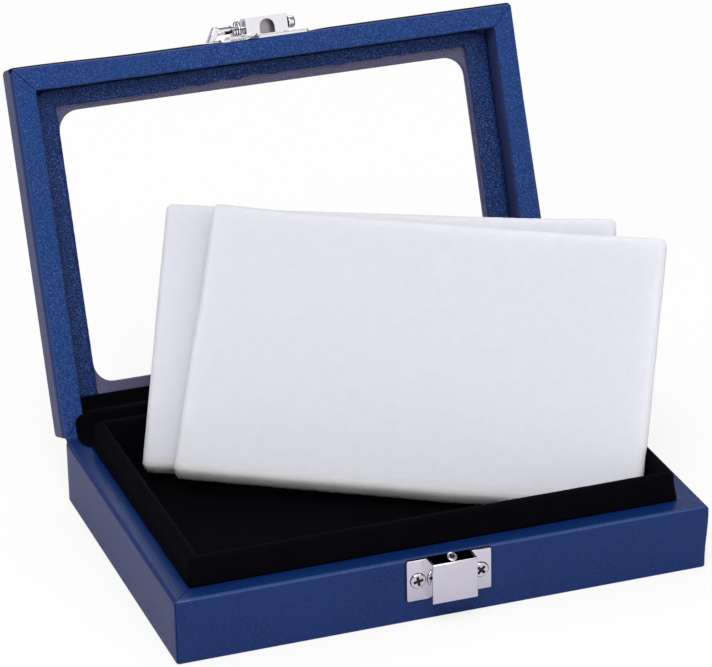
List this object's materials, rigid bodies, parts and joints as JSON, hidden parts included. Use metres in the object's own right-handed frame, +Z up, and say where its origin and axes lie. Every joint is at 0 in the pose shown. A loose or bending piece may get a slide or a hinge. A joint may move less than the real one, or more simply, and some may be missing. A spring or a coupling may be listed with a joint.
{
  "type": "gemstone display box",
  "caption": "Blue leatherette gemstone display box with a hinged window lid, a black velvet tray, a spring clasp and two white foam pads standing in the tray.",
  "frame": {"origin": "centre of the flat underside", "axes": "+X to the right, +Y to the back, +Z up"},
  "size_m": [0.1954, 0.19, 0.1457],
  "materials": {
    "rail_wood": "satin",
    "board": "matte",
    "paper": "matte",
    "blue_leatherette": "satin",
    "black_velvet": "matte",
    "white_foam": "matte",
    "grey_foam": "matte",
    "clear_plastic": "polished",
    "chrome": "polished",
    "steel": "satin"
  },
  "bodies": {
    "base": {"base_bottom_board": "board", "base_front_rail": "rail_wood", "base_back_rail": "rail_wood", "base_left_rail": "rail_wood", "base_right_rail": "rail_wood", "base_cover": "blue_leatherette", "base_underside_sheet": "paper", "tray_front_wall": "board", "tray_back_wall": "board", "tray_left_wall": "board", "tray_right_wall": "board", "tray_velvet": "black_velvet", "tray_floor_cushion": "black_velvet", "tray_foam_filler": "grey_foam", "hinge_velvet_base": "black_velvet", "left_hinge_base_leaf": "steel", "right_hinge_base_leaf": "steel", "left_hinge_pin": "steel", "right_hinge_pin": "steel", "lower_clasp_plate": "chrome", "lower_clasp_box": "chrome", "lower_clasp_stud": "chrome", "lower_clasp_screws": "chrome"},
    "lid": {"lid_front_rail": "rail_wood", "lid_back_rail": "rail_wood", "lid_left_rail": "rail_wood", "lid_right_rail": "rail_wood", "lid_panel_board": "board", "lid_cover": "blue_leatherette", "lid_lining": "blue_leatherette", "window_pane": "clear_plastic", "hinge_velvet_lid": "black_velvet", "left_hinge_lid_leaf": "steel", "right_hinge_lid_leaf": "steel", "upper_clasp_plate": "chrome", "upper_clasp_screws": "chrome", "clasp_spring": "steel"},
    "clasp_hood_body": {"clasp_hood": "chrome", "clasp_pin": "steel", "clasp_thumb_lever": "chrome", "clasp_pin_knob": "chrome"},
    "front_pad": {"front_foam_pad": "white_foam"},
    "back_pad": {"back_foam_pad": "white_foam"}
  },
  "joints": [
    {"name": "lid_hinge", "type": "hinge", "parent": "base", "child": "lid", "pos_m": [0, 0.0625, 0.02265], "axis": [1, 0, 0], "range_deg": [0, 110.84]},
    {"name": "hood_flip", "type": "hinge", "parent": "lid", "child": "clasp_hood_body", "pos_m": [0, 0.11351, 0.14148], "axis": [-1, 0, 0], "range_deg": [0, 60], "stiffness_Nm_per_rad": 0.004},
    {"name": "front_pad_lift", "type": "hinge", "parent": "base", "child": "front_pad", "pos_m": [0, -0.1125, 0.026], "axis": [1, 0, 0], "range_deg": [0, 110.84]},
    {"name": "back_pad_lift", "type": "hinge", "parent": "base", "child": "back_pad", "pos_m": [0, -0.1125, 0.026], "axis": [1, 0, 0], "range_deg": [0, 110.84]}
  ],
  "couplings": [
    {"joint": "front_pad_lift", "follows": "lid_hinge", "ratio": 1},
    {"joint": "back_pad_lift", "follows": "lid_hinge", "ratio": 1}
  ]
}
